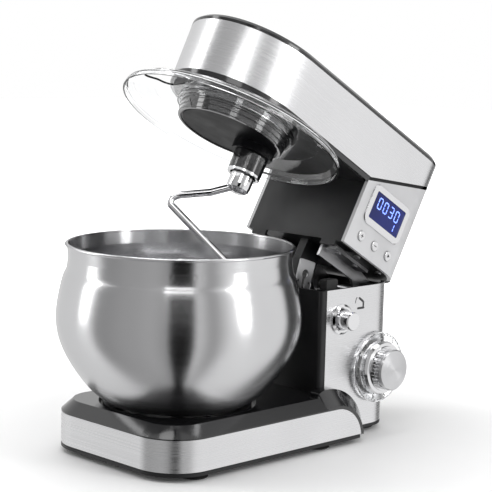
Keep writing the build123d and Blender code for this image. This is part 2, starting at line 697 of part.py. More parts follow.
def head_hinge_bracket():
    """Steel bracket under the head: a flange with two arms, bushed where they turn on the pin."""
    outline = [
        (146, 152.5), (146, 139.5), (204, 139.5), (218, 127.5),
        (230, 127), (236, 136), (232, 148.5), (212, 152.5),
    ]
    arm = side_slab(make_face(Polyline(*outline, close=True)), 27, 30)
    arm += block(150, 206, 27, 45, 149.5, BLOCK_LOW)
    bush = rod_y(8.6, 27, 31.6, HINGE_X, HINGE_Z)
    body = both_sides(arm + bush) + block(180, 206, -28, 28, 150.5, BLOCK_LOW)
    for x, y in BRACKET_SCREW_SPOTS:
        body -= drum(1.75, 140, 160, x, y)
    return body - rod_y(PIN_R + RUN_GAP, -50, 50, HINGE_X, HINGE_Z)


# ---- side panels and display ----
def head_side_panel():
    """Thick satin panel beside the rear block, under the band's rising edge."""
    rear = PANEL_REAR
    ring = slab(head_plan() - head_plan(SHELL_INSET - 0.05), BLOCK_LOW, 300)
    outline = [
        (BLOCK_FRONT, BLOCK_LOW),
        (rear, BLOCK_LOW),
        (rear, slant(rear, PANEL_DROP)),
        (BLOCK_FRONT, slant(BLOCK_FRONT, PANEL_DROP)),
    ]
    return ring & side_slab(make_face(Polyline(*outline, close=True)), -90, 0)


SCREEN = (150.0, 200.0, 188.5, 217.0)
BEZEL_EDGE = 6.5
BUTTON_XS = (152.0, 175.5, 199.0)
BUTTON_Z = 168.0
BUTTON_R = 5.0


def screen_face(grow, corner):
    x0, x1, z0, z1 = SCREEN
    outline = Rectangle(x1 - x0 + 2 * grow, z1 - z0 + 2 * grow)
    return Pos((x0 + x1) / 2, (z0 + z1) / 2) * fillet(outline.vertices(), corner)


def display_panel():
    body = head_side_panel() - side_slab(screen_face(BEZEL_EDGE - 2, 6), -80, -50)
    for x in BUTTON_XS:
        body -= rod_y(BUTTON_R + 0.35, -80, -50, x, BUTTON_Z)
    return body


def plain_side_panel():
    return mirror(head_side_panel(), about=Plane.XZ)


def display_bezel():
    """Raised frame round the screen."""
    frame = side_slab(screen_face(BEZEL_EDGE, 8), -HEAD_HALF - 1.4, -HEAD_HALF)
    frame = chamfer(frame.faces().sort_by(Axis.Y)[0].edges(), 0.6)
    frame += side_slab(screen_face(BEZEL_EDGE - 2.1, 5.9), -HEAD_HALF - 0.5, -HEAD_HALF + 3.8)
    return frame - side_slab(screen_face(0.1, 1.6), -90, -50)


def display_glass():
    return side_slab(screen_face(0.0, 1.5), -HEAD_HALF - 0.6, -HEAD_HALF + 1.6)


def display_board():
    """Board behind the screen, with the display module and three key switches."""
    body = block(142, 208, -59.6, -58, 162.6, 222) + block(150.5, 199.5, -65.8, -59.5, 189, 216.5)
    for x in BUTTON_XS:
        body += block(x - 3, x + 3, -61, -59.5, BUTTON_Z - 3, BUTTON_Z + 3)
    return body


def preset_button(x):
    """Round key cap in the panel, with a stem through the shell."""
    cap = rod_y(BUTTON_R, -HEAD_HALF - 1.6, -64.7, x, BUTTON_Z)
    cap = fillet(cap.faces().sort_by(Axis.Y)[0].edges(), 0.8)
    return cap + rod_y(2.5, -65, -62.2, x, BUTTON_Z)


def preset_button_1():
    return preset_button(BUTTON_XS[0])


def preset_button_2():
    return preset_button(BUTTON_XS[1])


def preset_button_3():
    return preset_button(BUTTON_XS[2])


# ---- motor and belt ----
BOLT_SPOTS = [(MOTOR_X + x, y) for x in (-35, 35) for y in (-35, 35)]


def motor_stator():
    """Laminated stack bored for the armature, with a wound coil round each of its two poles."""
    core = fillet(Rectangle(84, 84).vertices(), 12)
    stack = Pos(MOTOR_X, 0, 0) * slab(core, 178, 214) - drum(23.5, 170, 220, MOTOR_X)
    for x, y in BOLT_SPOTS:
        stack -= drum(2.3, 170, 220, x, y)
    return stack + both_sides(field_coil())


def field_coil():
    coil = block(MOTOR_X - 25.3, MOTOR_X + 25.3, 26, 34, 170.5, 221.5)
    rounded = [e for e in coil.edges().filter_by(Axis.Y) if abs(e.center().X - MOTOR_X) > 20]
    return fillet(rounded, 5)


def motor_frame(low, bridge_width):
    """Bearing bridge of the motor: a square frame with one bar across."""
    plate = fillet(Rectangle(84, 84).vertices(), 12) - Rectangle(56, 70)
    return Pos(MOTOR_X, 0, 0) * slab(plate + Rectangle(84, bridge_width), low, low + 3)


def motor_end_frames():
    """Lower bridge with the brush holders, upper one with wings that rest on the shell's ledges."""
    lower = motor_frame(160, 56) + drum(9, 160, 164.5, MOTOR_X)
    lower += both_sides(block(MOTOR_X - 4.5, MOTOR_X + 4.5, 14, 25.8, 162, 173.5))
    lower += both_sides(block(MOTOR_X - 3, MOTOR_X + 3, 11.3, 15, 166, 172))
    upper = motor_frame(236, 26) + drum(9, 238, 245, MOTOR_X)
    upper += both_sides(block(146, 204, 41, 60, 236, 239))
    bores = drum(4.0 + RUN_GAP, 150, 260, MOTOR_X)
    for x, y in BOLT_SPOTS:
        bores += drum(2.3, 150, 260, x, y)
    return group([lower - bores, upper - bores])


def armature():
    """Slotted core, winding ends, commutator, shaft and cooling fan in one turning piece."""
    core = drum(22.9, 179, 213, MOTOR_X)
    for slot in range(12):
        core -= Pos(MOTOR_X, 0, 0) * Rot(0, 0, 30 * slot) * block(20, 24, -1.2, 1.2, 170, 220)
    core += drum(19, 174.5, 218, MOTOR_X) + drum(11, 165, 174.5, MOTOR_X)
    core += drum(32, 224, 225.5, MOTOR_X) + drum(9, 224, 234, MOTOR_X)
    for blade in range(10):
        core += Pos(MOTOR_X, 0, 0) * Rot(0, 0, 36 * blade) * block(8, 31, -0.8, 0.8, 225, 234)
    return core + drum(4.0, 157.5, 262, MOTOR_X)


def flanged_pulley(radius, bore, x, low, high):
    body = drum(radius, low, high, x) + drum(radius + 2.4, low, BELT_LOW - 0.6, x)
    body += drum(radius + 2.4, BELT_TOP + 0.6, high, x)
    return body - drum(bore, low - 1, high + 1, x)


def motor_pulley():
    return flanged_pulley(MOTOR_PULLEY_R, 4.0, MOTOR_X, 247.5, 259.5)


def belt_pulley():
    """Large spoked pulley on the lay shaft."""
    body = flanged_pulley(LAY_PULLEY_R, 6.0, LAY_X, 248, 259)
    body -= pipe(31, 12, 252, 270, LAY_X) + pipe(31, 12, 240, 250.5, LAY_X)
    for hole in range(6):
        angle = math.radians(60 * hole)
        body -= drum(6, 240, 270, LAY_X + 21.5 * math.cos(angle), 21.5 * math.sin(angle))
    return body


def drive_belt():
    """Flat belt round both pulleys, clear of their faces by the running gap."""
    gap = 0.3
    inner = belt_loop(gap)
    return slab(belt_loop(gap + BELT_THICK) - inner, BELT_LOW, BELT_TOP)


def belt_loop(grow):
    """Open belt outline: two arcs joined by their outer tangents."""
    big, small = LAY_PULLEY_R + grow, MOTOR_PULLEY_R + grow
    span = MOTOR_X - LAY_X
    angle = math.degrees(math.acos((big - small) / span))
    big_top = (LAY_X + big * math.cos(math.radians(angle)), big * math.sin(math.radians(angle)))
    small_top = (MOTOR_X + small * math.cos(math.radians(angle)), small * math.sin(math.radians(angle)))
    with BuildSketch() as loop:
        with BuildLine():
            CenterArc((LAY_X, 0), big, angle, 360 - 2 * angle)
            CenterArc((MOTOR_X, 0), small, -angle, 2 * angle)
            Line(big_top, small_top)
            Line((big_top[0], -big_top[1]), (small_top[0], -small_top[1]))
        make_face()
    return loop.sketch


# ---- gearbox ----
def gearbox_housing():
    """Cast housing in the nose: flange, cup for the ring gear and bearing bosses."""
    body = drum(60.5, FLOOR_Z + 3, FLOOR_Z + 6.5) + drum(51.6, 195.5, FLOOR_Z + 3)
    body -= drum(48.6, 190, 214)
    body += drum(16, 210, FLOOR_Z + 6.5)
    body -= drum(CARRIER_SHAFT_R + RUN_GAP, 200, 230)
    body += drum(10, FLOOR_Z + 5, FLOOR_Z + 6.5, LAY_X)
    body -= drum(LAY_SHAFT_R + RUN_GAP, FLOOR_Z + 3.5, 240, LAY_X)
    for x, y in HOUSING_SCREW_SPOTS:
        body -= drum(1.75, 200, 240, x, y)
    for x, y in POST_SPOTS:
        body += drum(5, FLOOR_Z + 5, 240, x, y)
        body -= drum(1.6, 228, 241, x, y)
    return body


POST_SPOTS = [(-49, 0), (-14, 50), (-14, -50), (49, 31), (49, -31)]


def gearbox_cover():
    """Flat plate on the housing's posts, with the upper bearings of both shafts."""
    corners = [(-56, -12), (-22, -56), (10, -56), (62, -34), (62, 34), (10, 56), (-22, 56), (-56, 12)]
    body = slab(make_face(Polyline(*corners, close=True)), 240, 243)
    body += drum(11, 238.8, 244.5) + drum(9, 238.8, 244.5, LAY_X)
    body -= drum(CARRIER_SHAFT_R + RUN_GAP, 230, 250) + drum(LAY_SHAFT_R + RUN_GAP, 230, 250, LAY_X)
    for x, y in POST_SPOTS:
        body -= drum(1.75, 230, 250, x, y)
    return body


def head_fasteners():
    """All screws and bolts of the head: gearbox, cover, base plate, bracket and motor."""
    fasteners = screws(HOUSING_SCREW_SPOTS, FLOOR_Z + 6.5, FLOOR_Z + 0.5)
    fasteners += screws(POST_SPOTS, 243, 230)
    fasteners += screws(PLATE_SCREW_SPOTS, BLOCK_LOW, BLOCK_LOW + 7.5)
    fasteners += screws(BRACKET_SCREW_SPOTS, 149.5, 155.4)
    bolt = drum(2.1, 158.5, 242) + drum(3.6, 239, 242.4) + drum(3.6, 157, 160)
    fasteners += [Pos(x, y, 0) * bolt for x, y in BOLT_SPOTS]
    return group(fasteners)


def ring_gear():
    """Fixed internal gear in the housing's cup."""
    space = gear_face(RING_TEETH, 1.2, 0.7, -0.25, PLANET_ANGLE)
    return drum(48.6, 202.5, 210.0) - slab(space, 195, 220)


def main_gear():
    """Large gear pressed on the planet carrier's shaft."""
    body = slab(gear_face(MAIN_TEETH, 0.8, 1.25, 0.12), 228.5, 236.5) + drum(14, 226, 238)
    for hole in range(6):
        angle = math.radians(60 * hole + 30)
        body -= drum(7, 220, 240, 26 * math.cos(angle), 26 * math.sin(angle))
    return body - drum(CARRIER_SHAFT_R, 220, 245)


def lay_shaft():
    """Lay shaft with its pinion cut in one piece."""
    half_pitch = 180 / LAY_TEETH
    teeth = gear_face(LAY_TEETH, 0.9, 1.25, 0.12, half_pitch)
    return Pos(LAY_X, 0, 0) * (slab(teeth, 227.8, 237.2) + drum(LAY_SHAFT_R, FLOOR_Z + 4, 262))


def planet_carrier():
    """Disc under the nose on its vertical shaft, with a boss round the tool shaft."""
    body = drum(CARRIER_R, 194.6, 199.5) + drum(14, 199, 207) + drum(CARRIER_SHAFT_R, 199, 248)
    body += drum(21.0, 186.5, 196, TOOL_X, TOOL_Y) & drum(CARRIER_R, 180, 200)
    return body - drum(TOOL_SHAFT_R + RUN_GAP, 180, 205, TOOL_X, TOOL_Y)


def tool_shaft():
    """Output shaft: planet pinion at the top, cross pin at the bottom that drives the tools."""
    pinion = gear_face(PLANET_TEETH, 0.9, 1.25, 0.12, PLANET_ANGLE)
    body = drum(TOOL_SHAFT_R, 152.0, 212.0) + slab(pinion, 201.5, 209.5)
    return Pos(TOOL_X, TOOL_Y, 0) * (body + rod_y(1.6, -12.6, 12.6, 0, 161.5))


def tool_sleeve():
    """Black sleeve on the tool shaft, under the carrier's boss."""
    points = [(5.0, 174.5), (14.5, 174.5), (14.5, 167.6), (16.4, 167.6), (16.9, 186.0), (5.0, 186.0)]
    return Pos(TOOL_X, TOOL_Y, 0) * turned(points)


def sleeve_ring():
    """Polished ring round the sleeve's mouth."""
    points = [
        (13.2, 165.2), (15.6, 164.6), (16.4, 165.4), (16.4, 167.6),
        (14.5, 167.6), (14.5, 168.4), (13.2, 168.4),
    ]
    return Pos(TOOL_X, TOOL_Y, 0) * turned(points)


# ---- dough hook ----
HOOK_ROD_R = 3.6
HOOK_TURN = 134.5
HUB_BORE_R = TOOL_SHAFT_R + RUN_GAP


def hook_bar():
    """Bent bar: out to an elbow near the bowl's wall, back across the axis and round below."""
    knees = [
        (6, 150.5), (22, 138), (50, 123), (56.5, 114), (-12, 83),
        (-36, 71), (-40, 62), (-24, 55.5), (2, 56), (22, 64),
    ]
    radii = [9, 14, 5, 22, 12, 6, 8, 14]
    path = FilletPolyline(*[(r, 0, z) for r, z in knees], radius=radii)
    start = Plane(origin=path @ 0, z_dir=path % 0)
    bar = sweep(start * Circle(HOOK_ROD_R), path=path)
    bar += Pos(*(path @ 1)) * Sphere(HOOK_ROD_R)
    return Pos(TOOL_X, TOOL_Y, 0) * Rot(0, 0, HOOK_TURN) * bar


def hook_hub():
    """Polished socket that slides up on the tool shaft, slotted for the drive pin."""
    profile = [(0, 147.4), (8.0, 147.8), (11.0, 150.6), (11.7, 154.5), (11.7, 172.5), (0, 172.5)]
    body = Pos(TOOL_X, TOOL_Y, 0) * turned(profile) - drum(HUB_BORE_R, 151.8, 180, TOOL_X, TOOL_Y)
    body -= block(TOOL_X - 1.95, TOOL_X + 1.95, TOOL_Y - 15, TOOL_Y + 15, 159.6, 180)
    return body - hook_bar()


def hook_rod():
    return hook_bar() - drum(HUB_BORE_R, 151.8, 180, TOOL_X, TOOL_Y)


# ---- splash guard ----
GUARD_R = 110.6
COLLAR_R = 56.0


def splash_guard():
    """Clear domed ring that covers the bowl, with a lip over its rim and a filling opening."""
    outer = [
        (57.2, 214.8), (62, 214.8), (84, 212.2), (104, 206.4),
        (108.6, 203.2), (110.2, 200.5), (GUARD_R, 196.6),
    ]
    inner = [(109.0, 196.6), (108.4, 200.2), (102.6, 204.8), (83.6, 210.4), (62, 212.9), (58.9, 212.9)]
    hub = [(58.9, 207.0), (57.2, 207.0)]
    opening = Rot(0, 0, 167) * Pos(81, 0) * fillet(Rectangle(34, 52).vertices(), 11)
    return turned(outer + inner + hub) - slab(opening, 190, 230)


def guard_collar():
    """Polished ribbed collar round the gearbox housing, on which the splash guard sits."""
    points = [(51.6, 214.8), (COLLAR_R + 0.8, 214.8), (COLLAR_R + 0.8, 212.8)]
    for step in range(4):
        top = 212.0 - 4.4 * step
        edge = COLLAR_R - 0.9 * step
        points += [(edge, top), (edge, top - 3.4), (edge - 0.9, top - 3.9)]
    points += [(COLLAR_R - 3.6, 193.8), (50.2, 193.8), (50.2, 195.4), (51.6, 195.4)]
    return turned(points)


# ---- node list ----
BASE_NODES = {
    "base_tray": base_tray,
    "base_band": base_band,
    "base_bottom_cover": base_bottom_cover,
    "rubber_feet": rubber_feet,
    "base_fasteners": base_fasteners,
    "bowl_seat_ring": bowl_seat_ring,
    "column_shell": column_shell,
    "column_panel_left": side_panel_left,
    "column_panel_right": side_panel_right,
    "column_rear_cover": column_rear_cover,
    "cord_inlet_gland": cord_inlet_gland,
    "hinge_frame": hinge_frame,
    "hinge_pin": hinge_pin,
    "head_rest_pads": head_rest_pads,
    "control_board": control_board,
    "speed_switch": speed_switch,
    "release_bezel": release_bezel,
    "release_spring": release_spring,
    "release_button": release_button,
    "lock_shaft": lock_shaft,
    "dial_skirt": dial_skirt,
    "dial_knob": dial_knob,
    "dial_cap": dial_cap,
    "mixing_bowl": mixing_bowl,
}

HEAD_NODES = {
    "head_top_cover": head_top_cover,
    "head_steel_band": head_steel_band,
    "head_trim_ring": head_trim_ring,
    "head_lower_shell": head_lower_shell,
    "head_rear_cover": head_rear_cover,
    "head_base_plate": head_base_plate,
    "keyhole_plate": keyhole_plate,
    "head_hinge_bracket": head_hinge_bracket,
    "display_panel": display_panel,
    "plain_side_panel": plain_side_panel,
    "display_bezel": display_bezel,
    "display_glass": display_glass,
    "display_board": display_board,
    "preset_button_1": preset_button_1,
    "preset_button_2": preset_button_2,
    "preset_button_3": preset_button_3,
    "head_fasteners": head_fasteners,
    "motor_stator": motor_stator,
    "motor_end_frames": motor_end_frames,
    "armature": armature,
    "motor_pulley": motor_pulley,
    "drive_belt": drive_belt,
    "belt_pulley": belt_pulley,
    "gearbox_housing": gearbox_housing,
    "gearbox_cover": gearbox_cover,
    "ring_gear": ring_gear,
    "main_gear": main_gear,
    "lay_shaft": lay_shaft,
    "planet_carrier": planet_carrier,
    "tool_shaft": tool_shaft,
    "tool_sleeve": tool_sleeve,
    "sleeve_ring": sleeve_ring,
    "hook_hub": hook_hub,
    "hook_rod": hook_rod,
    "splash_guard": splash_guard,
    "guard_collar": guard_collar,
}


def export(shape, name):
    export_step(shape.translate((-MIDDLE_X, 0, 0)), f"parts/{name}.step")


def main():
    os.makedirs("parts", exist_ok=True)
    for name, make in BASE_NODES.items():
        export(make(), name)
    for name, make in HEAD_NODES.items():
        export(make().rotate(HINGE_AXIS, OPEN_ANGLE), name)


main()
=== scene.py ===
import json
import math

import bmesh
import bpy
from mathutils import Matrix, Vector

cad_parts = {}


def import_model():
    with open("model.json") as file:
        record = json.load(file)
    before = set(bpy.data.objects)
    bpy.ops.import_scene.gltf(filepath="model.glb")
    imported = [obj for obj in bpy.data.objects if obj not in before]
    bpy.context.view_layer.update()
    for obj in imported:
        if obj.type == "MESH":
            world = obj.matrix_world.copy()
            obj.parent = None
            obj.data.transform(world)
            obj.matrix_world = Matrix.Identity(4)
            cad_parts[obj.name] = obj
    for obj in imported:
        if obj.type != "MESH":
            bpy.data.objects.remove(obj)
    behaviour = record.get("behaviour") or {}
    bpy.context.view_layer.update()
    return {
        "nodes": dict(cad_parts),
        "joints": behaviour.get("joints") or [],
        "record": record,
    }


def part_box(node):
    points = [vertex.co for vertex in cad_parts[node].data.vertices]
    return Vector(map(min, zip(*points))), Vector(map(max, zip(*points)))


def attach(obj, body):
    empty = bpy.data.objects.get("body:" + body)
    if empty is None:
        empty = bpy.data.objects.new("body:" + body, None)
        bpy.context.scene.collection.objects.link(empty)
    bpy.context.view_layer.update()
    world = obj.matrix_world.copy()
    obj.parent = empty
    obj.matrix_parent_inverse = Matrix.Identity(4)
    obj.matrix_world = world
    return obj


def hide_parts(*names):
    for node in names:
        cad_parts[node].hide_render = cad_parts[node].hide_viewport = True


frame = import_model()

NODES = frame["nodes"]
RECORD = frame["record"]

# ---- thickness of printing, and its step off the surface under it ----
PRINT_THICK = 0.00005
PRINT_STEP = 0.00002

# ---- places taken from the frame ----
TILT_JOINT = next(j for j in frame["joints"] if j["name"] == "head_tilt")
DIAL_JOINT = next(j for j in frame["joints"] if j["name"] == "speed_dial")
HINGE = Vector(TILT_JOINT["pos_m"])
OPEN_ANGLE = math.radians(-TILT_JOINT["range_deg"][0])
OPEN = Matrix.Translation(HINGE) @ Matrix.Rotation(OPEN_ANGLE, 4, "Y") @ Matrix.Translation(-HINGE)
LEVEL = OPEN.inverted()
BOWL_LOW, BOWL_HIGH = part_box("mixing_bowl")
BOWL_AXIS = Vector(((BOWL_LOW.x + BOWL_HIGH.x) / 2, 0.0, 0.0))


def level_box(node):
    """Lowest and highest corner of a head node with the head turned level."""
    points = [LEVEL @ v.co for v in NODES[node].data.vertices]
    low = Vector([min(p[i] for p in points) for i in range(3)])
    high = Vector([max(p[i] for p in points) for i in range(3)])
    return low, high


# ---- material helpers ----
# most of a noise texture's values lie between these two
NOISE_LOW = 0.3
NOISE_HIGH = 0.7


def new_material(name, color, metallic=0.0, roughness=0.4):
    """Material with its colour, metal part and roughness set on the main shader."""
    material = bpy.data.materials.new(name)
    material.use_nodes = True
    shader = material.node_tree.nodes["Principled BSDF"]
    shader.inputs["Base Color"].default_value = (*color, 1.0)
    shader.inputs["Metallic"].default_value = metallic
    shader.inputs["Roughness"].default_value = roughness
    return material, shader


def noise(material, scale, detail=4.0, stretch=(1, 1, 1), tilt=0.0):
    """Noise in object space, stretched, and turned back level for the head's parts."""
    tree = material.node_tree
    coords = tree.nodes.new("ShaderNodeTexCoord")
    turn = tree.nodes.new("ShaderNodeMapping")
    turn.vector_type = "POINT"
    turn.inputs["Rotation"].default_value = (0.0, -tilt, 0.0)
    mapping = tree.nodes.new("ShaderNodeMapping")
    mapping.inputs["Scale"].default_value = stretch
    texture = tree.nodes.new("ShaderNodeTexNoise")
    texture.inputs["Scale"].default_value = scale
    texture.inputs["Detail"].default_value = detail
    tree.links.new(coords.outputs["Object"], turn.inputs["Vector"])
    tree.links.new(turn.outputs["Vector"], mapping.inputs["Vector"])
    tree.links.new(mapping.outputs["Vector"], texture.inputs["Vector"])
    return texture


def ranged(material, source, low, high, target):
    """Noise value mapped to a range and sent to a socket."""
    tree = material.node_tree
    node = tree.nodes.new("ShaderNodeMapRange")
    node.inputs["From Min"].default_value = NOISE_LOW
    node.inputs["From Max"].default_value = NOISE_HIGH
    node.inputs["To Min"].default_value = low
    node.inputs["To Max"].default_value = high
    tree.links.new(source.outputs["Fac"], node.inputs["Value"])
    tree.links.new(node.outputs["Result"], target)


def tinted(material, source, dark, light, target):
    """Noise value turned into a colour between two tones."""
    tree = material.node_tree
    ramp = tree.nodes.new("ShaderNodeValToRGB")
    ramp.color_ramp.elements[0].position = NOISE_LOW
    ramp.color_ramp.elements[0].color = (*dark, 1.0)
    ramp.color_ramp.elements[1].position = NOISE_HIGH
    ramp.color_ramp.elements[1].color = (*light, 1.0)
    tree.links.new(source.outputs["Fac"], ramp.inputs["Fac"])
    tree.links.new(ramp.outputs["Color"], target)


def bumped(material, source, strength, distance, shader):
    """Noise value used as a fine relief of the surface."""
    tree = material.node_tree
    bump = tree.nodes.new("ShaderNodeBump")
    bump.inputs["Strength"].default_value = strength
    bump.inputs["Distance"].default_value = distance
    tree.links.new(source.outputs["Fac"], bump.inputs["Height"])
    tree.links.new(bump.outputs["Normal"], shader.inputs["Normal"])


def shade(color, factor):
    """Colour made darker or lighter."""
    return tuple(min(1.0, c * factor) for c in color)


def brushed_metal(name, color, roughness, grain=(4, 4, 2600), tilt=0.0, anisotropy=0.5, strength=0.03):
    """Sheet metal with fine level grain: streaks that change quickly with height only."""
    material, shader = new_material(name, color, 1.0, roughness)
    shader.inputs["Anisotropic"].default_value = anisotropy
    streaks = noise(material, 1.0, 3.0, grain, tilt)
    clouds = noise(material, 9.0, 3.0)
    ranged(material, streaks, roughness * 0.86, roughness * 1.2, shader.inputs["Roughness"])
    tinted(material, clouds, shade(color, 0.95), shade(color, 1.03), shader.inputs["Base Color"])
    bumped(material, streaks, strength, 0.0002, shader)
    return material


def turned_metal(name, color, roughness, axis="Z"):
    """Spun metal: fine rings round an axis stretch reflections across them."""
    grain = (3, 3, 3000) if axis == "Z" else (3000, 3, 3000)
    material = brushed_metal(name, color, roughness, grain, 0.0, 0.85, 0.008)
    shader = material.node_tree.nodes["Principled BSDF"]
    rings = material.node_tree.nodes.new("ShaderNodeTangent")
    rings.direction_type = "RADIAL"
    rings.axis = axis
    shader.inputs["Anisotropic Rotation"].default_value = 0.25
    material.node_tree.links.new(rings.outputs["Tangent"], shader.inputs["Tangent"])
    return material


def polished_metal(name, color, roughness=0.06):
    """Plated surface with faint handling marks in its gloss."""
    material, shader = new_material(name, color, 1.0, roughness)
    marks = noise(material, 60.0, 6.0)
    clouds = noise(material, 15.0)
    ranged(material, marks, roughness * 0.6, roughness * 1.7, shader.inputs["Roughness"])
    tinted(material, clouds, shade(color, 0.97), shade(color, 1.02), shader.inputs["Base Color"])
    return material


def moulded_plastic(name, color, roughness, grain_scale=1800.0, strength=0.08, coat=0.0, gloss=0.5):
    """Plastic with a moulded texture, uneven gloss and a very light colour change."""
    material, shader = new_material(name, color, 0.0, roughness)
    shader.inputs["Coat Weight"].default_value = coat
    shader.inputs["Coat Roughness"].default_value = 0.05
    shader.inputs["Specular IOR Level"].default_value = gloss
    grain = noise(material, grain_scale, 3.0)
    handling = noise(material, 35.0, 5.0)
    clouds = noise(material, 12.0)
    ranged(material, handling, roughness * 0.8, min(1.0, roughness * 1.25), shader.inputs["Roughness"])
    tinted(material, clouds, shade(color, 0.85), shade(color, 1.15), shader.inputs["Base Color"])
    bumped(material, grain, strength, 0.0001, shader)
    return material


def clear_plastic(name):
    """Clear moulded sheet with a trace of waviness."""
    material, shader = new_material(name, (0.985, 0.99, 0.995), 0.0, 0.03)
    shader.inputs["Transmission Weight"].default_value = 1.0
    shader.inputs["IOR"].default_value = 1.46
    waves = noise(material, 30.0, 2.0)
    ranged(material, waves, 0.015, 0.05, shader.inputs["Roughness"])
    bumped(material, waves, 0.02, 0.0005, shader)
    return material


def screen_glass(name):
    """Dark display lit blue from behind, its glow a little uneven."""
    material, shader = new_material(name, (0.004, 0.008, 0.05), 0.0, 0.08)
    shader.inputs["Coat Weight"].default_value = 0.1
    shader.inputs["Specular IOR Level"].default_value = 0.3
    glow = noise(material, 25.0, 2.0)
    tinted(material, glow, (0.002, 0.004, 0.05), (0.004, 0.01, 0.11), shader.inputs["Base Color"])
    tinted(material, glow, (0.0, 0.003, 0.06), (0.0, 0.008, 0.13), shader.inputs["Emission Color"])
    shader.inputs["Emission Strength"].default_value = 0.6
    return material


def lit_segment(name):
    """Pale blue light of the display's digits."""
    material, shader = new_material(name, (0.35, 0.5, 1.0), 0.0, 0.4)
    glow = noise(material, 400.0, 2.0)
    tinted(material, glow, (0.06, 0.12, 1.0), (0.12, 0.2, 1.0), shader.inputs["Emission Color"])
    shader.inputs["Emission Strength"].default_value = 2.2
    return material


STEEL = (0.72, 0.72, 0.73)
MATERIALS = {
    "brushed_steel": brushed_metal("brushed_steel", STEEL, 0.27),
    "bowl_steel": turned_metal("bowl_steel", (0.62, 0.62, 0.63), 0.22),
    "black_gloss": moulded_plastic("black_gloss", (0.010, 0.010, 0.011), 0.13, 900.0, 0.015, 0.5),
    "black_matte": moulded_plastic("black_matte", (0.010, 0.010, 0.011), 0.42, 1800.0, 0.08, 0.0, 0.35),
    "silver_plastic": moulded_plastic("silver_plastic", (0.56, 0.56, 0.57), 0.34, 2400.0, 0.05),
    "plated_plastic": polished_metal("plated_plastic", (0.74, 0.74, 0.75), 0.11),
    "satin_metal": turned_metal("satin_metal", (0.62, 0.62, 0.63), 0.3, "Y"),
    "chrome": polished_metal("chrome", (0.77, 0.77, 0.78), 0.05),
    "plated_steel": brushed_metal("plated_steel", (0.5, 0.5, 0.51), 0.34, (60, 60, 60)),
    "cast_alloy": moulded_plastic("cast_alloy", (0.36, 0.36, 0.37), 0.5, 500.0, 0.25),
    "core_iron": brushed_metal("core_iron", (0.16, 0.15, 0.15), 0.45, (4, 4, 1400), OPEN_ANGLE, 0.2, 0.3),
    "black_enamel": moulded_plastic("black_enamel", (0.006, 0.006, 0.007), 0.35, 700.0, 0.06, 0.0, 0.1),
    "nylon": moulded_plastic("nylon", (0.75, 0.73, 0.66), 0.45),
    "rubber": moulded_plastic("rubber", (0.018, 0.018, 0.018), 0.7, 1200.0, 0.15),
    "circuit_board": moulded_plastic("circuit_board", (0.02, 0.13, 0.05), 0.35, 600.0, 0.1),
    "screen_glass": screen_glass("screen_glass"),
    "clear_plastic": clear_plastic("clear_plastic"),
}
OWN_MATERIALS = {
    "head_steel_band": brushed_metal("head_steel", STEEL, 0.24, tilt=OPEN_ANGLE),
    "guard_collar": moulded_plastic("collar_plastic", (0.02, 0.02, 0.021), 0.08, 900.0, 0.01, 1.0),
}
DIGIT_LIGHT = lit_segment("digit_light")
PRINT_DARK = moulded_plastic("print_dark", (0.03, 0.03, 0.032), 0.5)


def paint_cad_nodes():
    """Every CAD node takes the material of its slot in the record."""
    for part in RECORD["subparts"]:
        node = NODES[part["node"]]
        material = MATERIALS[part["material_slot"]]
        material = OWN_MATERIALS.get(part["node"], material)
        node.data.materials.clear()
        node.data.materials.append(material)


# ---- mesh helpers ----
def piece_from(bm, name, material, body):
    """New piece from a finished mesh, riding on a body and placed in a material slot."""
    mesh = bpy.data.meshes.new(name)
    bmesh.ops.recalc_face_normals(bm, faces=bm.faces)
    bm.to_mesh(mesh)
    bm.free()
    mesh.materials.append(material)
    piece = bpy.data.objects.new(name, mesh)
    bpy.context.scene.collection.objects.link(piece)
    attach(piece, body)
    return piece


def add_prism(bm, outline, place, height):
    """Flat outline in a local XY plane, raised along local Z, put in place by a matrix."""
    low = [bm.verts.new(place @ Vector((x, y, 0.0))) for x, y in outline]
    high = [bm.verts.new(place @ Vector((x, y, height))) for x, y in outline]
    bm.faces.new(list(reversed(low)))
    bm.faces.new(high)
    count = len(outline)
    for i in range(count):
        j = (i + 1) % count
        bm.faces.new((low[i], low[j], high[j], high[i]))


def bar_outline(length, width):
    """Six-sided bar with pointed ends, like one stroke of a digit."""
    half, side = length / 2, width / 2
    lower = [(-half, 0), (-half + side, -side), (half - side, -side)]
    upper = [(half, 0), (half - side, side), (-half + side, side)]
    return lower + upper


def quarter_turned(place):
    """The same place with its local X turned to its local Y."""
    return place @ Matrix.Rotation(math.pi / 2, 4, "Z")


def add_arc(bm, place, inner, outer, start, sweep, height, steps=24):
    """Flat arc-shaped bar."""
    for i in range(steps):
        a0 = start + sweep * i / steps
        a1 = start + sweep * (i + 1) / steps
        quad = [
            (inner * math.cos(a0), inner * math.sin(a0)),
            (outer * math.cos(a0), outer * math.sin(a0)),
            (outer * math.cos(a1), outer * math.sin(a1)),
            (inner * math.cos(a1), inner * math.sin(a1)),
        ]
        add_prism(bm, quad, place, height)


def tube(bm, points, radius, sides=10):
    """Round bar along a list of points."""
    rings = []
    for i, point in enumerate(points):
        ahead = points[min(i + 1, len(points) - 1)] - points[max(i - 1, 0)]
        turn = ahead.to_track_quat("Z", "Y").to_matrix()
        ring = []
        for k in range(sides):
            angle = 2 * math.pi * k / sides
            offset = turn @ Vector((radius * math.cos(angle), radius * math.sin(angle), 0))
            ring.append(bm.verts.new(point + offset))
        rings.append(ring)
    for one, two in zip(rings, rings[1:]):
        for k in range(sides):
            m = (k + 1) % sides
            bm.faces.new((one[k], one[m], two[m], two[k]))
    bm.faces.new(rings[0])
    bm.faces.new(list(reversed(rings[-1])))


